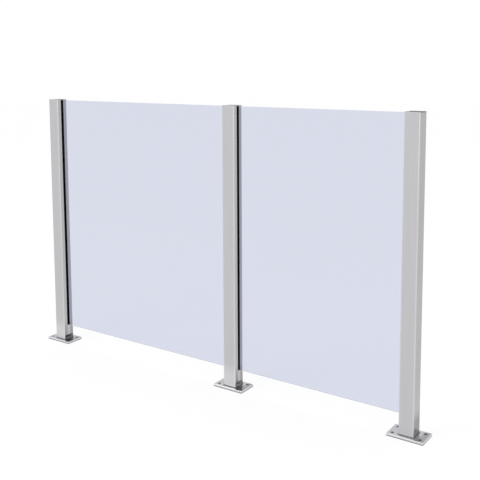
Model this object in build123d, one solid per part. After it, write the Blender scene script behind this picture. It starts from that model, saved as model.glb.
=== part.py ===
from build123d import *
import os

# A straight run of glass railing: three square posts on base plates, two glass panels.
# X runs along the railing, Y through its thickness, Z up. The origin lies on the ground,
# at the middle of the run. All lengths are in millimetres.

# The run
total_height = 1000.0
left_bay = 860.0
right_bay = 660.0

# Square tube of the posts
tube_side = 50.0
tube_wall = 2.0
tube_inner_radius = 2.0

# Base plate
plate_length = 120.0
plate_width = 75.0
plate_thickness = 8.0
plate_corner_radius = 2.0
plate_edge_chamfer = 1.0
bolt_hole_diameter = 10.0
bolt_hole_from_end = 15.0
bolt_hole_from_side = 15.0

# Slot for the glass, open at the top of the post
slot_foot = 58.0

# Drain cut-out at the foot of each slotted wall
drain_height = 16.0
drain_jamb = 4.5
drain_corner_radius = 3.0

# Fillet weld round the foot of each post
weld_leg = 2.5

# Post cap
cap_thickness = 3.0
cap_edge_chamfer = 0.8
cap_skirt_depth = 9.0
cap_skirt_wall = 1.5
cap_skirt_clearance = 0.3

# Glass
glass_thickness = 10.0
glass_grip = 14.0
glass_edge_chamfer = 1.0
glass_end_gap = 1.0
glass_lift = 1.0

# Rubber gasket, a ribbed U round each upright edge of the glass
gasket_side = 2.5
gasket_web = 3.0
gasket_rib_height = 0.9
gasket_rib_root = 2.2
gasket_rib_tip = 0.9
gasket_rib_count = 4
gasket_corner_radius = 2.2

# Inner channel of folded sheet, behind each slot
channel_sheet = 1.5
channel_bend_radius = 1.5
channel_floor_upstand = 8.0
channel_floor_side_gap = 1.2
channel_floor_end_gap = 0.6

# Setting block under each lower corner of the glass
block_height = 12.0
block_side_gap = 0.5
block_end_gap = 0.8
block_chamfer = 0.8

# Values that follow from those above
tube_bore = tube_side - 2 * tube_wall
tube_outer_radius = tube_inner_radius + tube_wall
tube_top = total_height - cap_thickness
face = tube_side / 2
slot_width = glass_thickness + 2 * gasket_side
slot_end = plate_thickness + slot_foot
pocket_depth = glass_grip + glass_end_gap + gasket_web
pocket_back = face - pocket_depth
channel_back = pocket_back - channel_sheet
wall_inside = face - tube_wall
glass_bottom = slot_end + glass_lift
channel_floor = glass_bottom - block_height

half_run = (left_bay + right_bay) / 2
post_places = {
    "left": -half_run,
    "middle": -half_run + left_bay,
    "right": half_run,
}
# Which walls of a post are slotted: +1 is the wall toward +X, -1 the wall toward -X
slotted_walls = {
    "left": (1,),
    "middle": (-1, 1),
    "right": (-1,),
}


def span_box(x_min, x_max, y_half, z_min, z_max):
    """A box from its two ends in X and Z, centred on Y."""
    size_x = x_max - x_min
    size_z = z_max - z_min
    centre = ((x_min + x_max) / 2, 0, (z_min + z_max) / 2)
    return Pos(*centre) * Box(size_x, 2 * y_half, size_z)


def span_rectangle(x_min, x_max, y_half):
    """A flat rectangle from its two ends in X, centred on Y."""
    return Pos((x_min + x_max) / 2, 0) * Rectangle(x_max - x_min, 2 * y_half)


def turned(shape, wall):
    """Turn a shape made for the +X wall to the wall that it belongs to."""
    return shape if wall > 0 else Rot(0, 0, 180) * shape


def tube_outline():
    return RectangleRounded(tube_side, tube_side, tube_outer_radius)


def base_plate():
    """Plate with its upright corners rounded, its top edge broken and a hole at each corner."""
    outline = RectangleRounded(plate_length, plate_width, plate_corner_radius)
    plate = extrude(outline, plate_thickness)
    plate = chamfer(plate.faces().sort_by(Axis.Z)[-1].edges(), plate_edge_chamfer)
    hole_x = plate_length / 2 - bolt_hole_from_end
    hole_y = plate_width / 2 - bolt_hole_from_side
    for x in (-hole_x, hole_x):
        for y in (-hole_y, hole_y):
            plate -= Pos(x, y, plate_thickness / 2) * Cylinder(bolt_hole_diameter / 2, plate_thickness)
    return plate


def wall_slot():
    """What the slot takes out of the +X wall of the tube, up to its open top."""
    return span_box(wall_inside, face, slot_width / 2, slot_end, tube_top)


def wall_drain():
    """What the drain cut-out takes out of the +X wall: its two top corners are round."""
    half_width = face - drain_jamb
    profile = Pos(0, drain_height / 2) * Rectangle(2 * half_width, drain_height)
    profile = fillet(profile.vertices().group_by(Axis.Y)[-1], drain_corner_radius)
    seat = Plane(origin=(face - tube_wall, 0, plate_thickness), x_dir=(0, 1, 0), z_dir=(1, 0, 0))
    return extrude(seat * profile, tube_wall)


def post_tube(walls):
    """Square tube from the plate to the cap, slotted and drained on the given walls."""
    bore = RectangleRounded(tube_bore, tube_bore, tube_inner_radius)
    tube = Pos(0, 0, plate_thickness) * extrude(tube_outline() - bore, tube_top - plate_thickness)
    for wall in walls:
        tube -= turned(wall_slot(), wall)
        tube -= turned(wall_drain(), wall)
    return tube


def foot_weld(walls):
    """Fillet weld round the foot of a tube, left out across the drain cut-outs."""
    toe_side = tube_side + 2 * weld_leg
    toe = RectangleRounded(toe_side, toe_side, tube_outer_radius + weld_leg)
    bead = extrude(toe, weld_leg, taper=45) - extrude(tube_outline(), weld_leg)
    for wall in walls:
        gap = span_box(0, face + weld_leg, face - drain_jamb, 0, weld_leg)
        bead -= turned(gap, wall)
    return Pos(0, 0, plate_thickness) * bead


def post_cap(walls):
    """Flat cap, notched over the glass pockets, with a skirt that plugs the free tube bore."""
    cap = extrude(tube_outline(), cap_thickness)
    cap = chamfer(cap.faces().sort_by(Axis.Z)[-1].edges(), cap_edge_chamfer)
    reach = tube_bore / 2 - cap_skirt_clearance
    skirt_min = -reach
    skirt_max = reach
    for wall in walls:
        cap -= turned(span_box(pocket_back, face, slot_width / 2, 0, cap_thickness), wall)
        if wall > 0:
            skirt_max = channel_back - cap_skirt_clearance
        else:
            skirt_min = -channel_back + cap_skirt_clearance
    middle = (skirt_min + skirt_max) / 2
    length = skirt_max - skirt_min
    outline = Pos(middle, 0) * RectangleRounded(length, 2 * reach, tube_inner_radius)
    hollow = Pos(middle, 0) * Rectangle(length - 2 * cap_skirt_wall, 2 * (reach - cap_skirt_wall))
    skirt = Pos(0, 0, -cap_skirt_depth) * extrude(outline - hollow, cap_skirt_depth)
    return Pos(0, 0, tube_top) * (cap + skirt)


def inner_channel():
    """Folded sheet behind a slot: a U in plan, closed at its foot by a tab bent from its back."""
    half_inside = slot_width / 2
    outside = span_rectangle(channel_back, wall_inside, half_inside + channel_sheet)
    outside = fillet(outside.vertices().group_by(Axis.X)[0], channel_bend_radius + channel_sheet)
    inside = span_rectangle(pocket_back, wall_inside, half_inside)
    inside = fillet(inside.vertices().group_by(Axis.X)[0], channel_bend_radius)
    sides_foot = channel_floor + channel_bend_radius
    channel = Pos(0, 0, sides_foot) * extrude(outside - inside, tube_top - sides_foot)
    return channel + channel_floor_tab()


def channel_floor_tab():
    """The lower end of the channel's back, bent forward to make the floor of the pocket."""
    tab_end = wall_inside - channel_floor_end_gap
    upstand_top = channel_floor + channel_floor_upstand
    half_width = slot_width / 2 - channel_floor_side_gap
    corner = (channel_back, channel_floor - channel_sheet)
    outer = Pos(*corner) * Rectangle(tab_end - channel_back, upstand_top - corner[1], align=Align.MIN)
    outer = fillet(outer.vertices().sort_by_distance(corner)[0], channel_bend_radius + channel_sheet)
    bend = (pocket_back, channel_floor)
    inner = Pos(*bend) * Rectangle(tab_end - pocket_back, channel_floor_upstand, align=Align.MIN)
    inner = fillet(inner.vertices().sort_by_distance(bend)[0], channel_bend_radius)
    upright = Plane(origin=(0, 0, 0), x_dir=(1, 0, 0), z_dir=(0, -1, 0))
    return extrude(upright * (outer - inner), half_width, both=True)


def gasket_rib(place, side):
    """One rib in plan: a blunt wedge from the gasket's side wall to the face of the glass."""
    tip_y = glass_thickness / 2
    root_y = tip_y + gasket_rib_height
    half_tip = gasket_rib_tip / 2
    half_root = gasket_rib_root / 2
    outline = Polyline(
        (place - half_root, side * root_y),
        (place - half_tip, side * tip_y),
        (place + half_tip, side * tip_y),
        (place + half_root, side * root_y),
        close=True,
    )
    return make_face(outline)


def gasket():
    """Ribbed U round one upright edge of the glass, seated in the channel and the slot."""
    outside = span_rectangle(pocket_back, face, slot_width / 2)
    outside = fillet(outside.vertices().group_by(Axis.X)[0], gasket_corner_radius)
    web_front = pocket_back + gasket_web
    section = outside - span_rectangle(web_front, face, glass_thickness / 2 + gasket_rib_height)
    first = web_front + glass_end_gap + glass_edge_chamfer + gasket_rib_root / 2
    last = face - gasket_rib_root / 2
    pitch = (last - first) / (gasket_rib_count - 1)
    for number in range(gasket_rib_count):
        for side in (-1, 1):
            section += gasket_rib(first + number * pitch, side)
    return Pos(0, 0, slot_end) * extrude(section, tube_top - slot_end)


def setting_block():
    """Block on the channel's floor that carries one lower corner of the glass."""
    back = pocket_back + gasket_web + block_end_gap
    front = wall_inside - block_end_gap
    block = span_box(back, front, glass_thickness / 2 - block_side_gap, channel_floor, glass_bottom)
    return chamfer(block.edges().filter_by(Axis.Z), block_chamfer)


def glass_panel(left_post, right_post):
    """Pane with ground edges, its upright edges inside the pockets of two posts."""
    x_min = post_places[left_post] + face - glass_grip
    x_max = post_places[right_post] - face + glass_grip
    pane = span_box(x_min, x_max, glass_thickness / 2, glass_bottom, tube_top)
    return chamfer(pane.edges(), glass_edge_chamfer)


def pocket_name(post, wall):
    """A post with one slotted wall needs no side in the names of its pocket's pieces."""
    if len(slotted_walls[post]) == 1:
        return post + "_post"
    return post + "_post_" + ("right" if wall > 0 else "left")


def all_pieces():
    """Every piece of the railing, by name, in its place."""
    pieces = {}
    for post, x in post_places.items():
        walls = slotted_walls[post]
        place = Pos(x, 0, 0)
        pieces[post + "_base_plate"] = place * base_plate()
        pieces[post + "_post_tube"] = place * post_tube(walls)
        pieces[post + "_post_cap"] = place * post_cap(walls)
        beads = (place * foot_weld(walls)).solids().sort_by(Axis.Y)
        sides = [""] if len(beads) == 1 else ["_front", "_back"]
        for side, bead in zip(sides, beads):
            pieces[post + side + "_foot_weld"] = bead
        for wall in walls:
            name = pocket_name(post, wall)
            pieces[name + "_inner_channel"] = place * turned(inner_channel(), wall)
            pieces[name + "_gasket"] = place * turned(gasket(), wall)
            pieces[name + "_setting_block"] = place * turned(setting_block(), wall)
    pieces["left_glass_panel"] = glass_panel("left", "middle")
    pieces["right_glass_panel"] = glass_panel("middle", "right")
    return pieces


os.makedirs("parts", exist_ok=True)
for node, piece in all_pieces().items():
    export_step(piece, f"parts/{node}.step")
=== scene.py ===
from math import cos, pi, radians, sin

import bmesh
import bpy
from bpy.props import FloatProperty, FloatVectorProperty, PointerProperty
from mathutils import Matrix, Vector


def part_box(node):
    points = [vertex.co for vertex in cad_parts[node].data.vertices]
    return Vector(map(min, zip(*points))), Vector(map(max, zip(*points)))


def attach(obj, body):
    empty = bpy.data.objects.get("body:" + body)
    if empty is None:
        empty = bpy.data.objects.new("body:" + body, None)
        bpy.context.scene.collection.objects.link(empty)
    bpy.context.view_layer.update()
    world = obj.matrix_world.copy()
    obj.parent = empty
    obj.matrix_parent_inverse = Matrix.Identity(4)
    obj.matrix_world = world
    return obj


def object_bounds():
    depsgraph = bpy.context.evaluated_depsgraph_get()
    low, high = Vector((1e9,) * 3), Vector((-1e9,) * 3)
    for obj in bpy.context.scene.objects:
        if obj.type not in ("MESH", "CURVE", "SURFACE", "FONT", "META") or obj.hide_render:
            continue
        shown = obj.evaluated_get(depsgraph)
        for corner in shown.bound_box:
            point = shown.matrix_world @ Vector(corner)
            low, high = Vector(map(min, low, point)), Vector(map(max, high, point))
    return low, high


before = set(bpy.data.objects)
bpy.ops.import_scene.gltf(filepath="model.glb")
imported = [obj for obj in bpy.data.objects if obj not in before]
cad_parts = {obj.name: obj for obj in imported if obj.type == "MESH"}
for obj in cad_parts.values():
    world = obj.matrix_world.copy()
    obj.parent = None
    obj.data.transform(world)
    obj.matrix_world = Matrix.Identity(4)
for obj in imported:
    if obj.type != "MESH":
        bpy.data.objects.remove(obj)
CAD_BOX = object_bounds()

bl_info = {
    "name": "Glass post railing",
    "version": (1, 0, 0),
    "blender": (4, 5, 0),
    "location": "3D View > Sidebar > Railing",
    "description": "Finishes for a stainless steel post railing with glass panels",
    "category": "Object",
}

# The slotted walls of each post: 1 is its wall toward +X, -1 its wall toward -X.
SLOTTED_WALLS = {"left": (1,), "middle": (-1, 1), "right": (-1,)}
# The post with the darker cap, which is painted shade, and with no painted highlight at the foot of its
# front.
PLAIN_POST = "right"
POCKETS = ("left_post", "middle_post_left", "middle_post_right", "right_post")
WELDS = ("left_foot_weld", "middle_front_foot_weld", "middle_back_foot_weld", "right_foot_weld")
PANELS = ("left_glass_panel", "right_glass_panel")

# The grain of each finish. lines is their number per metre along X, Y and Z, contrast and spread
# are how far tone and roughness swing, and relief is the height of the bump in metres.
POST_GRAIN = {"contrast": 0.05, "spread": 0.10, "relief": 0.00002}
PLATE_GRAIN = {"contrast": 0.05, "spread": 0.08, "relief": 0.00001}
CAP_GRAIN = {"contrast": 0.05, "spread": 0.10, "relief": 0.00001}
CHANNEL_GRAIN = {"lines": (150, 150, 40), "contrast": 0.06, "spread": 0.12, "relief": 0.00001}
WELD_GRAIN = {"lines": (500, 500, 500), "contrast": 0.18, "spread": 0.2, "relief": 0.00002}
GASKET_GRAIN = {"lines": (1200, 1200, 30), "contrast": 0.3, "spread": 0.15, "relief": 0.0001}
BLOCK_GRAIN = {"lines": (900, 900, 900), "contrast": 0.3, "spread": 0.15, "relief": 0.0001}
GLASS_GRAIN = {"Lines_per_metre": (150, 150, 6), "Roughness": 1.0, "Roughness_spread": 1.0}
# How many times longer than their spacing the brush lines of plates and caps are.
GRAIN_STRETCH = 12
# The noise that makes brush lines, the noise that makes patches, and how far most noise swings.
LINE_NOISE = {"Scale": 1.0, "Detail": 3.0, "Roughness": 0.6}
PATCH_NOISE = {"Scale": 7.0, "Detail": 2.0}
NOISE_RANGE = (0.3, 0.7)
# Strength of the bumps, and how much of their gloss rubber and panes keep.
STEEL_BUMP = 0.35
RUBBER_BUMP = 0.3
RUBBER_SHINE = 0.1
PANE_SHINE = (0.25, 0.25, 0.25, 1)

# Mean roughness of what has no setting of its own in the sidebar.
CHANNEL_ROUGHNESS = 0.45
WELD_ROUGHNESS = 0.42
BLOCK_ROUGHNESS = 0.7
FLOOR_ROUGHNESS = 0.9

# What lies over the brushed steel: its roughness, and how metallic it is where that differs. The coat on
# the plates' foot line and in their holes goes with painted shade, and the one on their chamfer with a
# painted highlight.
SCALE_COAT = {"roughness": 0.75, "metal": 0.2}
SHADE_COAT = {"roughness": 0.6, "metal": 0.8}
SHEARED_COAT = {"roughness": 0.42}
HIGHLIGHT_COAT = {"roughness": 0.2}
CAP_ARRIS_COAT = {"roughness": 0.3}

# Where one zone of a surface fades into the next, in metres from the line between them: the first
# number is where the zone starts to show, and the second where it shows in full.
CORNER_FADE = (-0.0004, 0.0012)
INSIDE_FADE = (0.0012, 0.0018)
FRONT_FADE = (0.0, 0.001)
FLANK_FADE = (0.003, 0.004)
SILL_FADE = (0.001, -0.001)
OUTLINE_FADE = (0.0030, 0.0025)
BORE_FADE = (0.0025, 0.0030)
EDGE_FADE = (-0.0001, 0.0)
LEVEL_FADE = (0.00005, 0.0001)
PLATE_SHADE_FADE = (0.010, 0.018)
# How far up or down the ground edge of the panes fades into their faces, in metres.
GROUND_FADE = 0.0002

# One ripple of a weld: its faces, and its width and length as shares of the pitch and of the leg.
RIPPLE_FACES = {"u_segments": 8, "v_segments": 5}
RIPPLE_WIDTH = 0.8
RIPPLE_LENGTH = 0.68

LAMPS = {
    "key": {"place": (-2.0, -3.5, 3.2), "side": 2.5},
    "side": {"place": (2.6, -3.0, 1.6), "side": 1.2},
}
# Between these two, along Y, the white that metal mirrors grows dimmer.
DIMMING = (-0.1, 0.3)
# Side of the square photograph in pixels, and width of the camera's sensor in millimetres.
PHOTO_SIDE = 480.0
SENSOR_WIDTH = 36.0
# Spacing of the nodes in the shader editor.
COLUMN_WIDTH = 220
ROW_HEIGHT = 200


class SteelFinish(bpy.types.PropertyGroup):
    """Stainless steel"""

    post_tone: FloatVectorProperty(
        name="Post tone", description="Colour of the brushed tube", subtype="COLOR",
        size=3, min=0, max=1, default=(0.536, 0.531, 0.545))
    post_roughness: FloatProperty(
        name="Post roughness", description="Mean roughness of the brushed tube",
        subtype="FACTOR", min=0, max=1, default=0.32)
    # Painted highlight: brightens the colour of the tube's rounded corners.
    corner_highlight: FloatProperty(
        name="Corner highlight", description="How much brighter the tube's rounded corners are",
        subtype="FACTOR", min=0, max=1, default=0.17)
    # Painted highlight: brightens the front and back of the tube at its foot.
    foot_highlight: FloatProperty(
        name="Foot highlight",
        description="How much brighter the front and back are where the foot was painted",
        subtype="FACTOR", min=0, max=1, default=0.18)
    # Painted shade: darkens the sides of the tube at the foot, lifted again below a slot.
    flank_shade: FloatProperty(
        name="Flank shade",
        description="How much shadier a slotted side is at the foot, but not below the slot",
        subtype="FACTOR", min=0, max=1, default=0.30)
    end_shade: FloatProperty(
        name="End shade", description="How much shadier a side without a slot is at the foot",
        subtype="FACTOR", min=0, max=1, default=0.41)
    # Foot height and foot blend bound the band at the foot where the painted highlight and painted shade
    # lie.
    foot_height: FloatProperty(
        name="Foot height", description="Height above the floor where the painted foot ends",
        unit="LENGTH", min=0.01, max=0.2, default=0.072)
    foot_blend: FloatProperty(
        name="Foot blend", description="Half the height over which the painted foot fades out",
        unit="LENGTH", min=0.001, max=0.1, default=0.028)
    plate_tone: FloatVectorProperty(
        name="Plate tone", description="Colour of the base plates", subtype="COLOR",
        size=3, min=0, max=1, default=(0.632, 0.619, 0.657))
    plate_roughness: FloatProperty(
        name="Plate roughness", description="Mean roughness of the base plates",
        subtype="FACTOR", min=0, max=1, default=0.28)
    # Painted shade: darkens the base plates to the right of the posts.
    plate_shade: FloatProperty(
        name="Plate shade", description="How much shadier the base plates are to the right of the posts",
        subtype="FACTOR", min=0, max=1, default=0.32)
    broken_edge: FloatProperty(
        name="Broken edge", description="Width of the chamfer round the top of the base plates",
        unit="LENGTH", min=0.0001, max=0.005, default=0.001)
    cap_tone: FloatVectorProperty(
        name="Cap tone", description="Colour of the caps of the left and middle post", subtype="COLOR",
        size=3, min=0, max=1, default=(0.54, 0.54, 0.545))
    # Painted shade: the right cap is the same steel as the others, made darker.
    end_cap_shade_tone: FloatVectorProperty(
        name="End cap tone", description="Colour of the darker cap of the right post", subtype="COLOR",
        size=3, min=0, max=1, default=(0.38, 0.38, 0.38))
    cap_roughness: FloatProperty(
        name="Cap roughness", description="Mean roughness of the post caps",
        subtype="FACTOR", min=0, max=1, default=0.40)
    cap_edge_tone: FloatVectorProperty(
        name="Cap edge tone", description="Colour of the edge and the chamfer of the post caps",
        subtype="COLOR", size=3, min=0, max=1, default=(0.56, 0.56, 0.565))
    cap_chamfer: FloatProperty(
        name="Cap chamfer", description="Width of the chamfer round the top of the caps", unit="LENGTH",
        min=0.0001, max=0.005, default=0.0008)
    cap_glance: FloatProperty(
        name="Cap glance", description="How bright the left and middle cap stay at a glancing angle",
        subtype="FACTOR", min=0, max=1, default=0.80)
    # Painted shade: the right cap keeps less of its reflection at a glancing angle.
    end_cap_shade_glance: FloatProperty(
        name="End cap glance", description="How bright the right cap stays at a glancing angle",
        subtype="FACTOR", min=0, max=1, default=0.30)
    cut_tone: FloatVectorProperty(
        name="Cut edge tone", description="Colour of the sheared edges of the base plates",
        subtype="COLOR", size=3, min=0, max=1, default=(0.70, 0.69, 0.72))
    # Painted highlight: the bright chamfer round the top of the base plates.
    arris_tone: FloatVectorProperty(
        name="Arris tone", description="Colour of the highlit chamfer round the top of the base plates",
        subtype="COLOR", size=3, min=0, max=1, default=(0.92, 0.92, 0.925))
    # Painted shade: darkens the inside of the drilled holes.
    bore_tone: FloatVectorProperty(
        name="Bore tone", description="Colour inside the drilled holes of the base plates",
        subtype="COLOR", size=3, min=0, max=1, default=(0.16, 0.16, 0.165))
    # Painted shade: the dark line where the base plates meet the floor.
    rim_tone: FloatVectorProperty(
        name="Rim tone", description="Colour of the shadowed line where the base plates meet the floor",
        subtype="COLOR", size=3, min=0, max=1, default=(0.12, 0.12, 0.125))
    rim_height: FloatProperty(
        name="Rim height", description="Height of the shadowed line round the base plates", unit="LENGTH",
        min=0.0001, max=0.01, default=0.005)
    scale_tone: FloatVectorProperty(
        name="Scale tone", description="Colour of the dull mill scale inside the posts",
        subtype="COLOR", size=3, min=0, max=1, default=(0.58, 0.58, 0.59))
    channel_tone: FloatVectorProperty(
        name="Channel tone", description="Colour of the folded sheet behind the slots", subtype="COLOR",
        size=3, min=0, max=1, default=(0.45, 0.45, 0.45))
    weld_tone: FloatVectorProperty(
        name="Weld tone", description="Colour of the weld bead", subtype="COLOR",
        size=3, min=0, max=1, default=(0.15, 0.15, 0.152))
    grain_period: FloatProperty(
        name="Grain period", description="Mean distance between two brush lines", unit="LENGTH",
        min=0.0002, max=0.02, default=0.0012)
    grain_length: FloatProperty(
        name="Grain length", description="Mean length of one brush line", unit="LENGTH",
        min=0.01, max=2.0, default=0.25)


class WeldBead(bpy.types.PropertyGroup):
    """Foot welds"""

    ripple_pitch: FloatProperty(
        name="Ripple pitch", description="Distance from one ripple to the next", unit="LENGTH",
        min=0.0008, max=0.01, default=0.0018)
    ripple_relief: FloatProperty(
        name="Ripple relief", description="Height of a ripple over the bead", unit="LENGTH",
        min=0.0001, max=0.002, default=0.0003)
    tube_corner_radius: FloatProperty(
        name="Tube corner radius", description="Outer corner radius of the tube that the bead runs round",
        unit="LENGTH", min=0.0005, max=0.02, default=0.004)
    drain_jamb: FloatProperty(
        name="Drain jamb", description="Width of wall left beside a drain cut-out", unit="LENGTH",
        min=0.001, max=0.02, default=0.0045)


class SoftFinish(bpy.types.PropertyGroup):
    """Rubber and glass"""

    rubber_tone: FloatVectorProperty(
        name="Rubber tone", description="Colour of the gaskets", subtype="COLOR",
        size=3, min=0, max=1, default=(0.003, 0.004, 0.007))
    rubber_roughness: FloatProperty(
        name="Rubber roughness", description="Mean roughness of the gaskets", subtype="FACTOR",
        min=0, max=1, default=0.62)
    block_tone: FloatVectorProperty(
        name="Block tone", description="Colour of the setting blocks", subtype="COLOR",
        size=3, min=0, max=1, default=(0.02, 0.02, 0.02))
    glass_tint: FloatVectorProperty(
        name="Glass tint", description="What the glass lets through", subtype="COLOR",
        size=3, min=0, max=1, default=(0.694, 0.718, 0.822))
    glass_index: FloatProperty(
        name="Glass index", description="Index of refraction of the panes", min=1, max=2, default=1.1)
    ground_roughness: FloatProperty(
        name="Ground roughness", description="Mean roughness of the ground edge of the panes",
        subtype="FACTOR", min=0, max=1, default=0.3)
    smear: FloatProperty(
        name="Smear", description="Mean roughness that dried rain leaves on the faces of the panes",
        subtype="FACTOR", min=0, max=1, default=0.01)
    ground_edge: FloatProperty(
        name="Ground edge", description="Width of the ground edge of the panes", unit="LENGTH",
        min=0.0001, max=0.01, default=0.0011)


class Studio(bpy.types.PropertyGroup):
    """Camera, lamps and floor"""

    focal_pixels: FloatProperty(
        name="Focal length in photograph pixels",
        description="Focal length over pixel size of the photograph", min=100, max=5000, default=777.2)
    camera_place: FloatVectorProperty(
        name="Camera place", description="Where the camera stands", subtype="XYZ", unit="LENGTH",
        size=3, default=(1.6291, -2.1699, 1.1462))
    camera_yaw: FloatProperty(
        name="Camera yaw", description="Turn from straight along Y toward minus X", subtype="ANGLE",
        default=radians(34.585))
    camera_pitch: FloatProperty(
        name="Camera pitch", description="Tilt below the horizon", subtype="ANGLE",
        default=radians(6.459))
    camera_roll: FloatProperty(
        name="Camera roll", description="Turn about the line of sight", subtype="ANGLE",
        default=radians(-0.255))
    shift_pixels: FloatProperty(
        name="Upward shift in photograph pixels", description="How far the picture is slid upward",
        default=90.0)
    backdrop_strength: FloatProperty(
        name="Backdrop strength", description="Brightness of the white backdrop", min=0, max=2,
        default=1.03)
    room_strength: FloatProperty(
        name="Room strength", description="Plain light from all sides", min=0, max=2, default=0.9)
    back_shade: FloatProperty(
        name="Shade behind", description="How bright metal shows the room behind the railing",
        subtype="FACTOR", min=0, max=1, default=0.80)
    floor_tone: FloatVectorProperty(
        name="Floor tone", description="Colour of the floor", subtype="COLOR",
        size=3, min=0, max=1, default=(0.95, 0.95, 0.95))
    floor_glow: FloatProperty(
        name="Floor whiteness", description="How far the floor is the plain white of the backdrop",
        subtype="FACTOR", min=0, max=1, default=0.8)
    floor_side: FloatProperty(
        name="Floor side", description="Side of the square floor", unit="LENGTH", min=2, max=100,
        default=40.0)
    key_power: FloatProperty(
        name="Key lamp power", description="Power of the large lamp at the front left", unit="POWER",
        min=0, max=1000, default=35)
    side_power: FloatProperty(
        name="Side lamp power", description="Power of the lamp beside the camera", unit="POWER",
        min=0, max=1000, default=10)


def new_material(name):
    """A material with an empty node tree."""
    material = bpy.data.materials.new(name)
    material.use_nodes = True
    material.node_tree.nodes.clear()
    return material


def add_node(tree, kind, **settings):
    """A node with these attributes set."""
    node = tree.nodes.new(kind)
    for key, value in settings.items():
        setattr(node, key, value)
    return node


def give(socket, source):
    """Set an input to a plain value, or link it to an output."""
    if isinstance(source, bpy.types.NodeSocket):
        socket.id_data.links.new(source, socket)
    else:
        socket.default_value = source


def feed(node, *in_order, **by_name):
    """Give inputs of a node plain values or outputs to read, in the node's order or by name."""
    for socket, source in zip(node.inputs, in_order):
        give(socket, source)
    for name, source in by_name.items():
        give(node.inputs[name.replace("_", " ")], source)
    return node


def source_of(socket):
    """What an input has now: the output that it reads, or its plain value."""
    return socket.links[0].from_socket if socket.is_linked else socket.default_value


def lay_out(tree):
    """Place the nodes in columns, each to the left of the nodes that read it."""
    columns = dict.fromkeys(tree.nodes.keys(), 0)
    for _ in columns:
        for link in tree.links:
            start, end = link.from_node.name, link.to_node.name
            columns[start] = max(columns[start], columns[end] + 1)
    filled = dict.fromkeys(columns.values(), 0)
    for name, column in columns.items():
        tree.nodes[name].location = (-COLUMN_WIDTH * column, -ROW_HEIGHT * filled[column])
        filled[column] += 1


def math_node(tree, operation, *operands, clamp=False):
    """What a Math node makes of numbers and outputs."""
    node = add_node(tree, "ShaderNodeMath", operation=operation, use_clamp=clamp)
    return feed(node, *operands).outputs["Value"]


def vector_node(tree, operation, *operands, **by_name):
    """What a Vector Math node makes of its operands."""
    node = add_node(tree, "ShaderNodeVectorMath", operation=operation)
    return feed(node, *operands, **by_name).outputs["Vector"]


def ramp(tree, value, low, high, to_low=0.0, to_high=1.0, **settings):
    """A value moved from low..high to to_low..to_high."""
    node = add_node(tree, "ShaderNodeMapRange", **settings)
    feed(node, Value=value, From_Min=low, From_Max=high, To_Min=to_low, To_Max=to_high)
    return node.outputs["Result"]


def noise(tree, place, **values):
    """Noise at a place."""
    return feed(add_node(tree, "ShaderNodeTexNoise"), place, **values).outputs["Fac"]


def mix(tree, kind, factor, first, second):
    """From the first to the second, for two numbers (Float) or two colours (Color)."""
    node = add_node(tree, "ShaderNodeMix", data_type={"Float": "FLOAT", "Color": "RGBA"}[kind])
    sockets = {socket.identifier: socket for socket in (*node.inputs, *node.outputs)}
    give(sockets["Factor_Float"], factor)
    give(sockets[f"A_{kind}"], first)
    give(sockets[f"B_{kind}"], second)
    return sockets[f"Result_{kind}"]


def split(tree, vector):
    """The parts X, Y and Z of a vector."""
    return feed(add_node(tree, "ShaderNodeSeparateXYZ"), vector).outputs


def surface_place(tree):
    """Where a point of the surface is on the railing, in metres."""
    return add_node(tree, "ShaderNodeTexCoord").outputs["Object"]


def finished_shader(material, **sockets):
    """A Principled shader wired to the material's output, with plain values on its own sockets."""
    tree = material.node_tree
    shader = feed(add_node(tree, "ShaderNodeBsdfPrincipled"), **sockets)
    feed(add_node(tree, "ShaderNodeOutputMaterial"), Surface=shader.outputs["BSDF"])
    return shader


def new_group(name, inputs, outputs):
    """A node group, what it is given and the node that takes its results.

    Inputs are given as name: (kind, default) and outputs as name: kind, where a kind is Float,
    Color or Vector.
    """
    group = bpy.data.node_groups.new(name, "ShaderNodeTree")
    for label, (kind, default) in inputs.items():
        socket = group.interface.new_socket(label, in_out="INPUT", socket_type=f"NodeSocket{kind}")
        socket.default_value = default
    for label, kind in outputs.items():
        group.interface.new_socket(label, in_out="OUTPUT", socket_type=f"NodeSocket{kind}")
    given = add_node(group, "NodeGroupInput").outputs
    return group, given, add_node(group, "NodeGroupOutput")


def grain_group():
    """Brush lines: stretched noise that varies tone, roughness and height."""
    name = "Brushed grain"
    if name in bpy.data.node_groups:
        return bpy.data.node_groups[name]
    group, given, results = new_group(name, {
        "Lines per metre": ("Vector", (800, 800, 4)),
        "Tone": ("Color", (0.6, 0.6, 0.6, 1)),
        "Contrast": ("Float", 0.06),
        "Roughness": ("Float", 0.35),
        "Roughness spread": ("Float", 0.08),
    }, {"Tone": "Color", "Roughness": "Float", "Height": "Float"})
    place = surface_place(group)
    stretched = vector_node(group, "MULTIPLY", place, given["Lines per metre"])
    lines = noise(group, stretched, **LINE_NOISE)
    patches = noise(group, place, **PATCH_NOISE)

    swing = ramp(group, lines, *NOISE_RANGE, -1.0, 1.0, clamp=False)
    gain = math_node(group, "MULTIPLY_ADD", swing, given["Contrast"], 1.0)
    tint = vector_node(group, "SCALE", given["Tone"], Scale=gain)
    centred = math_node(group, "SUBTRACT", math_node(group, "ADD", lines, patches), 1.0)
    uneven = math_node(
        group, "MULTIPLY_ADD", centred, given["Roughness spread"], given["Roughness"])
    feed(results, Tone=tint, Roughness=uneven, Height=lines)
    lay_out(group)
    return group


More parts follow.
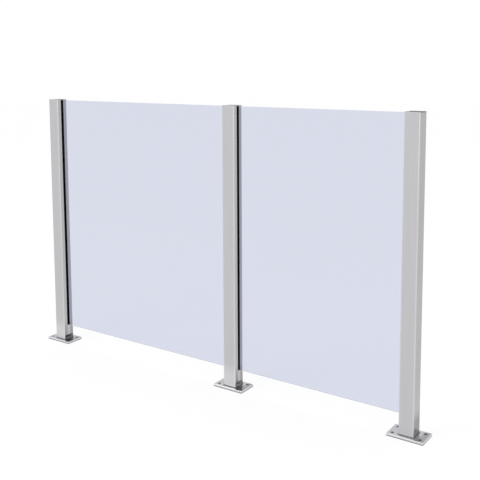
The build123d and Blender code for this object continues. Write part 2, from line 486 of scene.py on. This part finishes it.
def tube_zones_group():
    """Zones of an upright square tube: its rounded corners, its inside, and the band at its foot where
    highlight and shade are painted.

    Slots is 1 where only the wall toward +X has a slot, -1 where only the other has, and 0 for both.
    """
    name = "Tube zones"
    if name in bpy.data.node_groups:
        return bpy.data.node_groups[name]
    group, given, results = new_group(name, {
        "Centre X": ("Float", 0.0),
        "Half side": ("Float", 0.025),
        "Corner radius": ("Float", 0.004),
        "Foot height": ("Float", 0.072),
        "Foot blend": ("Float", 0.028),
        "Half slot": ("Float", 0.0075),
        "Slots": ("Float", 0.0),
    }, {"Corner": "Float", "Inside": "Float", "Front foot": "Float", "Slotted foot": "Float",
        "End foot": "Float", "Sill": "Float"})
    place = split(group, surface_place(group))
    sideways = math_node(group, "SUBTRACT", place["X"], given["Centre X"])
    across = math_node(group, "ABSOLUTE", sideways)
    through = math_node(group, "ABSOLUTE", place["Y"])
    flat = math_node(group, "SUBTRACT", given["Half side"], given["Corner radius"])

    past = math_node(group, "SUBTRACT", math_node(group, "MINIMUM", across, through), flat)
    farther = math_node(group, "MAXIMUM", across, through)
    depth = math_node(group, "SUBTRACT", given["Half side"], farther)

    under = math_node(group, "SUBTRACT", given["Foot height"], place["Z"])
    faded = math_node(group, "MULTIPLY", given["Foot blend"], -1.0)
    foot = ramp(group, under, faded, given["Foot blend"], interpolation_type="SMOOTHSTEP")
    front = ramp(group, math_node(group, "SUBTRACT", through, flat), *FRONT_FADE)
    flank = ramp(group, math_node(group, "SUBTRACT", across, flat), *FLANK_FADE)
    flank_foot = math_node(group, "MULTIPLY", foot, flank)

    # side is below 0 only on the wall without a slot of a post that has one slotted wall
    side = math_node(group, "MULTIPLY", math_node(group, "SIGN", sideways), given["Slots"])
    slotted = math_node(group, "GREATER_THAN", side, -0.5)
    slotted_foot = math_node(group, "MULTIPLY", flank_foot, slotted)
    # Below the slot, the Sill zone takes the painted shade of the sides off again.
    beside = math_node(group, "SUBTRACT", through, given["Half slot"])
    below_slot = ramp(group, beside, *SILL_FADE)
    feed(
        results,
        Corner=ramp(group, past, *CORNER_FADE),
        Inside=ramp(group, depth, *INSIDE_FADE),
        Front_foot=math_node(group, "MULTIPLY", foot, front),
        Slotted_foot=slotted_foot,
        End_foot=math_node(group, "SUBTRACT", flank_foot, slotted_foot),
        Sill=math_node(group, "MULTIPLY", slotted_foot, below_slot),
    )
    lay_out(group)
    return group


def plate_zones_group():
    """Zones of a flat plate: its edges, the line of painted shade at their foot, its chamfer and its
    holes.
    """
    name = "Plate zones"
    if name in bpy.data.node_groups:
        return bpy.data.node_groups[name]
    group, given, results = new_group(name, {
        "Low corner": ("Vector", (-0.06, -0.0375, 0.0)),
        "High corner": ("Vector", (0.06, 0.0375, 0.008)),
        "Broken edge": ("Float", 0.001),
        "Rim height": ("Float", 0.005),
    }, {"Edge": "Float", "Rim": "Float", "Arris": "Float", "Bore": "Float"})
    place = surface_place(group)
    over = vector_node(group, "SUBTRACT", place, given["Low corner"])
    under = vector_node(group, "SUBTRACT", given["High corner"], place)
    inward = split(group, vector_node(group, "MINIMUM", over, under))
    height = split(group, over)["Z"]
    depth = split(group, under)["Z"]

    aside = math_node(group, "MINIMUM", inward["X"], inward["Y"])
    outline = ramp(group, aside, *OUTLINE_FADE)
    inner = ramp(group, aside, *BORE_FADE)
    sunk = math_node(group, "SUBTRACT", depth, given["Broken edge"])
    below = ramp(group, sunk, *EDGE_FADE)
    level = ramp(group, depth, *LEVEL_FADE)
    bevel = math_node(group, "MULTIPLY", level, math_node(group, "SUBTRACT", 1.0, below))
    share = math_node(group, "DIVIDE", height, given["Rim height"])
    feed(
        results,
        Edge=math_node(group, "MULTIPLY", outline, below),
        Rim=math_node(group, "MULTIPLY", outline, ramp(group, share, 1.0, 0.0)),
        Arris=math_node(group, "MULTIPLY", outline, bevel),
        Bore=math_node(group, "MULTIPLY", inner, level),
    )
    lay_out(group)
    return group


def add_group(tree, group, **values):
    """A group as a node of this tree, with its own values."""
    return feed(add_node(tree, "ShaderNodeGroup", node_tree=group), **values).outputs


def grained(name, tone, roughness, lines, contrast, spread, bump, relief, **sockets):
    """A material with brush lines in its tone, its roughness and its relief."""
    material = new_material(name)
    shader = finished_shader(material, **sockets)
    tree = material.node_tree
    grain = add_group(tree, grain_group(), Lines_per_metre=lines, Tone=(*tone, 1), Contrast=contrast,
                      Roughness=roughness, Roughness_spread=spread)
    rise = feed(add_node(tree, "ShaderNodeBump"), Strength=bump, Distance=relief, Height=grain["Height"])
    feed(shader, Base_Color=grain["Tone"], Roughness=grain["Roughness"], Normal=rise.outputs["Normal"])
    return material


def brushed_steel(name, tone, roughness, **details):
    """Stainless steel with brush lines."""
    return grained(name, tone, roughness, bump=STEEL_BUMP, Metallic=1.0, **details)


def rubber(name, tone, roughness, **details):
    """Matte black rubber with a fine skin."""
    return grained(name, tone, roughness, bump=RUBBER_BUMP, Specular_IOR_Level=RUBBER_SHINE, **details)


def dress(nodes, material):
    """Put one finished material in every slot of these CAD nodes."""
    lay_out(material.node_tree)
    for name in nodes:
        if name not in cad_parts:
            raise RuntimeError(f"the railing has no piece named {name}")
        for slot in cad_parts[name].material_slots:
            slot.material = material


def tube_zones(tree, post, finish, bead):
    """The zones of one post's tube."""
    low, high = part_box(f"{post}_post_tube")
    return add_group(
        tree, tube_zones_group(), Centre_X=(low.x + high.x) / 2, Half_side=(high.x - low.x) / 2,
        Corner_radius=bead.tube_corner_radius, Foot_height=finish.foot_height,
        Foot_blend=finish.foot_blend, Slots=sum(SLOTTED_WALLS[post]))


def plate_zones(tree, node, broken_edge, rim_height):
    """The zones of one base plate or cap."""
    low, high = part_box(node)
    return add_group(tree, plate_zones_group(), Low_corner=low, High_corner=high,
                     Broken_edge=broken_edge, Rim_height=rim_height)


def brighten(material, factor):
    """Scale the material's colour by a value that changes over the surface."""
    tree = material.node_tree
    colour = tree.nodes["Principled BSDF"].inputs["Base Color"]
    give(colour, vector_node(tree, "SCALE", source_of(colour), Scale=factor))


def cover(material, mask, tone, roughness, metal=None):
    """Lay another finish over the steel where the mask is 1. With no metal it stays as metallic."""
    tree = material.node_tree
    shader = tree.nodes["Principled BSDF"].inputs
    give(shader["Base Color"], mix(tree, "Color", mask, source_of(shader["Base Color"]), (*tone, 1)))
    give(shader["Roughness"], mix(tree, "Float", mask, source_of(shader["Roughness"]), roughness))
    if metal is not None:
        give(shader["Metallic"], mix(tree, "Float", mask, source_of(shader["Metallic"]), metal))


class RAILING_OT_posts(bpy.types.Operator):
    """Brush the three post tubes upward, with a painted highlight on the corners, a painted highlight and
    painted shade at the foot, and a dull inside
    """

    bl_idname = "railing.posts"
    bl_label = "Post tubes"

    def execute(self, context):
        finish = context.scene.railing_steel
        across = 1 / finish.grain_period
        along = 1 / finish.grain_length
        for post in SLOTTED_WALLS:
            steel = brushed_steel(
                f"{post}_post_steel", finish.post_tone, finish.post_roughness,
                lines=(across, across, along), **POST_GRAIN)
            zones = tube_zones(steel.node_tree, post, finish, context.scene.railing_weld)
            # Painted light: a highlight on the corners, and shade on the sides of the foot that the Sill
            # gain lifts below the slot.
            gains = {
                "Corner": finish.corner_highlight,
                "Slotted foot": -finish.flank_shade,
                "Sill": finish.flank_shade,
                "End foot": -finish.end_shade,
            }
            # Painted highlight on the front and back of the foot, left out on the right post.
            if post != PLAIN_POST:
                gains["Front foot"] = finish.foot_highlight
            brightness = 1.0
            for zone, gain in gains.items():
                brightness = math_node(steel.node_tree, "MULTIPLY_ADD", zones[zone], gain, brightness)
            brighten(steel, brightness)
            cover(steel, zones["Inside"], finish.scale_tone, **SCALE_COAT)
            dress([f"{post}_post_tube"], steel)
        return {"FINISHED"}


class RAILING_OT_plates(bpy.types.Operator):
    """Finish the base plates with a fine grain along the railing"""

    bl_idname = "railing.plates"
    bl_label = "Base plates"

    def execute(self, context):
        finish = context.scene.railing_steel
        across = 1 / finish.grain_period
        for post in SLOTTED_WALLS:
            steel = brushed_steel(
                f"{post}_plate_steel", finish.plate_tone, finish.plate_roughness,
                lines=(across / GRAIN_STRETCH, across, across), **PLATE_GRAIN)
            tree = steel.node_tree
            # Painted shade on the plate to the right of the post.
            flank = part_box(f"{post}_post_tube")[1].x
            start, end = (flank + distance for distance in PLATE_SHADE_FADE)
            along = split(tree, surface_place(tree))["X"]
            brighten(steel, ramp(tree, along, start, end, 1.0, 1.0 - finish.plate_shade))
            plate = plate_zones(tree, f"{post}_base_plate", finish.broken_edge, finish.rim_height)
            cover(steel, plate["Edge"], finish.cut_tone, **SHEARED_COAT)
            # Painted shade along the foot of the plate's edges, where it meets the floor.
            cover(steel, plate["Rim"], finish.rim_tone, **SHADE_COAT)
            # Painted highlight on the chamfer.
            cover(steel, plate["Arris"], finish.arris_tone, **HIGHLIGHT_COAT)
            # Painted shade inside the holes.
            cover(steel, plate["Bore"], finish.bore_tone, **SHADE_COAT)
            tube = tube_zones(tree, post, finish, context.scene.railing_weld)
            cover(steel, tube["Inside"], finish.scale_tone, **SCALE_COAT)
            dress([f"{post}_base_plate"], steel)
        return {"FINISHED"}


class RAILING_OT_caps(bpy.types.Operator):
    """Finish the post caps"""

    bl_idname = "railing.caps"
    bl_label = "Post caps"

    def execute(self, context):
        finish = context.scene.railing_steel
        across = 1 / finish.grain_period
        for post in SLOTTED_WALLS:
            tone, glance = finish.cap_tone, finish.cap_glance
            # Painted shade: the right cap is a darker copy of the cap steel.
            if post == PLAIN_POST:
                tone, glance = finish.end_cap_shade_tone, finish.end_cap_shade_glance
            steel = brushed_steel(
                f"{post}_cap_steel", tone, finish.cap_roughness,
                lines=(across / GRAIN_STRETCH, across, across), **CAP_GRAIN,
                Specular_Tint=(glance, glance, glance, 1))
            cap = f"{post}_post_cap"
            low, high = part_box(cap)
            zones = plate_zones(steel.node_tree, cap, finish.cap_chamfer, high.z - low.z)
            cover(steel, zones["Edge"], finish.cap_edge_tone, finish.post_roughness)
            cover(steel, zones["Arris"], finish.cap_edge_tone, **CAP_ARRIS_COAT)
            dress([cap], steel)
        return {"FINISHED"}


class RAILING_OT_channels(bpy.types.Operator):
    """Finish the folded sheet channels behind the slots"""

    bl_idname = "railing.channels"
    bl_label = "Inner channels"

    def execute(self, context):
        finish = context.scene.railing_steel
        steel = brushed_steel("channel_steel", finish.channel_tone, CHANNEL_ROUGHNESS, **CHANNEL_GRAIN)
        dress([f"{pocket}_inner_channel" for pocket in POCKETS], steel)
        return {"FINISHED"}


def bead_stations(low, high, corner_radius, pitch):
    """Places along the outside of a square tube, each with the direction that faces away from it."""
    stations = []
    centre = (low + high) / 2
    half = (high.x - low.x) / 2 - corner_radius
    arc_steps = max(2, round(corner_radius * pi / 2 / pitch))
    side_steps = round(2 * half / pitch)
    for quarter in range(4):
        turn = Matrix.Rotation(quarter * pi / 2, 4, "Z")
        for step in range(arc_steps):
            angle = -pi / 2 + pi / 2 * step / arc_steps
            outward = Vector((cos(angle), sin(angle), 0))
            place = Vector((half, -half, 0)) + corner_radius * outward
            stations.append((turn @ place, turn @ outward))
        for step in range(side_steps):
            place = Vector((half + corner_radius, -half + 2 * half * step / side_steps, 0))
            stations.append((turn @ place, turn @ Vector((1, 0, 0))))
    return [(Vector((centre.x, centre.y, 0)) + place, outward) for place, outward in stations]


def sort_faces(mesh):
    """Put the faces in the order of their vertices, because spheres come with another order each run."""
    mesh.verts.index_update()
    count = len(mesh.verts)
    mesh.faces.sort(key=lambda face: face.verts[0].index * count + face.verts[1].index)


def ripple_seat(place, outward, foot, leg, bead):
    """Turn, size and place of one ripple: it lies across the bead's slope, half sunk into it."""
    turn = Matrix.Rotation(outward.xy.angle_signed(Vector((1, 0))), 4, "Z")
    slope = turn @ Matrix.Rotation(-pi / 4, 4, "Y")
    size = Matrix.Diagonal(
        (2 * bead.ripple_relief, bead.ripple_pitch * RIPPLE_WIDTH, leg * RIPPLE_LENGTH, 1))
    middle = place + outward * leg / 2 + Vector((0, 0, foot + leg / 2))
    seat = middle - (outward + Vector((0, 0, 1))).normalized() * bead.ripple_relief
    return Matrix.Translation(seat) @ slope @ size


def ripples(weld, bead):
    """Overlapping ripples along one foot weld, with none across a drain."""
    low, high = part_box(weld)
    post = weld.split("_")[0]
    tube_low, tube_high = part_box(f"{post}_post_tube")
    half_drain = (tube_high.y - tube_low.y) / 2 - bead.drain_jamb
    mesh = bmesh.new()
    for place, outward in bead_stations(tube_low, tube_high, bead.tube_corner_radius, bead.ripple_pitch):
        in_drain = round(outward.x) in SLOTTED_WALLS[post] and abs(place.y) < half_drain
        if in_drain or not low.y <= place.y <= high.y:
            continue
        seat = ripple_seat(place, outward, low.z, high.z - low.z, bead)
        bmesh.ops.create_uvsphere(mesh, radius=1.0, matrix=seat, **RIPPLE_FACES)
    sort_faces(mesh)
    return mesh


def new_object(name, mesh, material):
    """An object made of this bmesh, at the origin."""
    data = bpy.data.meshes.new(name)
    mesh.to_mesh(data)
    mesh.free()
    data.materials.append(material)
    piece = bpy.data.objects.new(name, data)
    bpy.context.scene.collection.objects.link(piece)
    return piece


class RAILING_OT_welds(bpy.types.Operator):
    """Lay overlapping ripples on the foot welds"""

    bl_idname = "railing.welds"
    bl_label = "Foot welds"

    def execute(self, context):
        finish = context.scene.railing_steel
        steel = brushed_steel("weld_steel", finish.weld_tone, WELD_ROUGHNESS, **WELD_GRAIN)
        dress(WELDS, steel)
        for weld in WELDS:
            piece = new_object(f"{weld}_ripples", ripples(weld, context.scene.railing_weld), steel)
            piece.data.shade_smooth()
            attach(piece, "root")
        return {"FINISHED"}


class RAILING_OT_gaskets(bpy.types.Operator):
    """Give the gaskets and the setting blocks their rubber"""

    bl_idname = "railing.gaskets"
    bl_label = "Gaskets and setting blocks"

    def execute(self, context):
        finish = context.scene.railing_soft
        dress([f"{pocket}_gasket" for pocket in POCKETS],
              rubber("gasket_rubber", finish.rubber_tone, finish.rubber_roughness, **GASKET_GRAIN))
        dress([f"{pocket}_setting_block" for pocket in POCKETS],
              rubber("block_rubber", finish.block_tone, BLOCK_ROUGHNESS, **BLOCK_GRAIN))
        return {"FINISHED"}


class RAILING_OT_glass(bpy.types.Operator):
    """Make the panels clear, faintly blue glass with ground edges"""

    bl_idname = "railing.glass"
    bl_label = "Glass panels"

    def execute(self, context):
        finish = context.scene.railing_soft
        material = new_material("glass")
        shader = finished_shader(
            material, Base_Color=(*finish.glass_tint, 1), IOR=finish.glass_index,
            Transmission_Weight=1.0, Specular_Tint=PANE_SHINE)
        tree = material.node_tree
        low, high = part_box(PANELS[0])
        height = split(tree, surface_place(tree))["Z"]
        top = high.z - finish.ground_edge
        foot = low.z + finish.ground_edge
        edge = math_node(tree, "MAXIMUM", ramp(tree, height, top, top + GROUND_FADE),
                         ramp(tree, height, foot, foot - GROUND_FADE))
        mean = ramp(tree, edge, 0.0, 1.0, finish.smear, finish.ground_roughness)
        grain = add_group(tree, grain_group(), **GLASS_GRAIN)
        feed(shader, Roughness=math_node(tree, "MULTIPLY", grain["Roughness"], mean, clamp=True))
        dress(PANELS, material)
        for panel in PANELS:
            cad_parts[panel].visible_shadow = False
            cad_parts[panel].visible_glossy = False
        return {"FINISHED"}


def area_lamp(name, place, target, side, power):
    """A square lamp that faces the target."""
    data = bpy.data.lights.new(name, "AREA")
    data.shape = "SQUARE"
    data.size = side
    data.energy = power
    lamp = bpy.data.objects.new(name, data)
    lamp.location = place
    lamp.rotation_euler = (target - Vector(place)).to_track_quat("-Z", "Y").to_euler()
    bpy.context.scene.collection.objects.link(lamp)


def shown_rays(tree):
    """1 for what the camera, metal and glass see, and 0 for light that falls on matt surfaces."""
    rays = add_node(tree, "ShaderNodeLightPath").outputs
    seen = math_node(tree, "MAXIMUM", rays["Is Camera Ray"], rays["Is Glossy Ray"])
    return math_node(tree, "MAXIMUM", seen, rays["Is Transmission Ray"])


def backdrop_strength(tree, along_y, studio):
    """Strength of the white that rays see: metal sees it a little dimmer behind the railing."""
    rays = add_node(tree, "ShaderNodeLightPath").outputs
    dimmer = ramp(tree, along_y, *DIMMING, 1.0, studio.back_shade)
    mirrored = math_node(
        tree, "SUBTRACT", rays["Is Glossy Ray"], rays["Is Transmission Ray"], clamp=True)
    seen = mix(tree, "Float", mirrored, 1.0, dimmer)
    return math_node(tree, "MULTIPLY", seen, studio.backdrop_strength)


def white_world(studio):
    """Plain light from all sides, in which the camera, metal and glass see a white backdrop."""
    world = bpy.data.worlds.new("white room")
    world.use_nodes = True
    tree = world.node_tree
    tree.nodes.clear()
    direction = add_node(tree, "ShaderNodeTexCoord").outputs["Generated"]
    white = backdrop_strength(tree, split(tree, direction)["Y"], studio)
    strength = mix(tree, "Float", shown_rays(tree), studio.room_strength, white)
    background = feed(add_node(tree, "ShaderNodeBackground"), Color=(1, 1, 1, 1), Strength=strength)
    feed(add_node(tree, "ShaderNodeOutputWorld"), Surface=background.outputs["Background"])
    lay_out(tree)
    bpy.context.scene.world = world


def white_floor(studio):
    """A white floor that keeps a soft shadow of the railing."""
    material = new_material("floor")
    tree = material.node_tree
    matt = feed(
        add_node(tree, "ShaderNodeBsdfPrincipled"), Base_Color=(*studio.floor_tone, 1),
        Roughness=FLOOR_ROUGHNESS, Specular_IOR_Level=0.0)
    glow = backdrop_strength(tree, split(tree, surface_place(tree))["Y"], studio)
    white = feed(add_node(tree, "ShaderNodeEmission"), Strength=glow)
    share = math_node(tree, "MULTIPLY", shown_rays(tree), studio.floor_glow)
    both = feed(
        add_node(tree, "ShaderNodeMixShader"), share, matt.outputs["BSDF"], white.outputs["Emission"])
    feed(add_node(tree, "ShaderNodeOutputMaterial"), Surface=both.outputs["Shader"])
    lay_out(tree)
    mesh = bmesh.new()
    bmesh.ops.create_grid(mesh, x_segments=1, y_segments=1, size=studio.floor_side / 2)
    new_object("floor", mesh, material)


def photo_camera(studio):
    """A camera at the photograph's place, with the photograph's lens and shift."""
    data = bpy.data.cameras.new("camera")
    data.sensor_width = SENSOR_WIDTH
    data.lens = studio.focal_pixels / PHOTO_SIDE * SENSOR_WIDTH
    data.shift_y = -studio.shift_pixels / PHOTO_SIDE
    camera = bpy.data.objects.new("camera", data)
    aim = (
        Matrix.Rotation(studio.camera_yaw, 4, "Z")
        @ Matrix.Rotation(pi / 2 - studio.camera_pitch, 4, "X")
        @ Matrix.Rotation(studio.camera_roll, 4, "Z")
    )
    camera.matrix_world = Matrix.Translation(studio.camera_place) @ aim
    bpy.context.scene.collection.objects.link(camera)
    bpy.context.scene.camera = camera


class RAILING_OT_stage(bpy.types.Operator):
    """Build the floor, the backdrop, the lamps and the camera"""

    bl_idname = "railing.stage"
    bl_label = "Stage"

    def execute(self, context):
        studio = context.scene.railing_studio
        white_world(studio)
        white_floor(studio)
        photo_camera(studio)
        middle = (CAD_BOX[0] + CAD_BOX[1]) / 2
        for name, lamp in LAMPS.items():
            power = getattr(studio, f"{name}_power")
            area_lamp(f"{name} lamp", lamp["place"], middle, lamp["side"], power)
        context.scene.view_settings.view_transform = "Standard"
        return {"FINISHED"}


class RAILING_PT_panel(bpy.types.Panel):
    """Sizes, colours and steps of the railing"""

    bl_label = "Railing"
    bl_idname = "RAILING_PT_panel"
    bl_space_type = "VIEW_3D"
    bl_region_type = "UI"
    bl_category = "Railing"

    def draw(self, context):
        layout = self.layout
        for group_name in GROUPS:
            group = getattr(context.scene, group_name)
            column = layout.column(align=True)
            column.label(text=group.__doc__)
            for key in group.bl_rna.properties.keys():
                if key not in ("rna_type", "name"):
                    column.prop(group, key)
        for operator in OPERATORS:
            layout.operator(operator.bl_idname)


GROUPS = {
    "railing_steel": SteelFinish,
    "railing_weld": WeldBead,
    "railing_soft": SoftFinish,
    "railing_studio": Studio,
}
OPERATORS = (
    RAILING_OT_posts,
    RAILING_OT_plates,
    RAILING_OT_caps,
    RAILING_OT_channels,
    RAILING_OT_welds,
    RAILING_OT_gaskets,
    RAILING_OT_glass,
    RAILING_OT_stage,
)


def register():
    for group in GROUPS.values():
        bpy.utils.register_class(group)
    for operator in OPERATORS:
        bpy.utils.register_class(operator)
    bpy.utils.register_class(RAILING_PT_panel)
    for name, group in GROUPS.items():
        setattr(bpy.types.Scene, name, PointerProperty(type=group))


def unregister():
    for name in GROUPS:
        delattr(bpy.types.Scene, name)
    bpy.utils.unregister_class(RAILING_PT_panel)
    for operator in reversed(OPERATORS):
        bpy.utils.unregister_class(operator)
    for group in reversed(list(GROUPS.values())):
        bpy.utils.unregister_class(group)


def main():
    register()
    bpy.ops.railing.posts()
    bpy.ops.railing.plates()
    bpy.ops.railing.caps()
    bpy.ops.railing.channels()
    bpy.ops.railing.welds()
    bpy.ops.railing.gaskets()
    bpy.ops.railing.glass()
    bpy.ops.railing.stage()


if __name__ == "__main__":
    main()
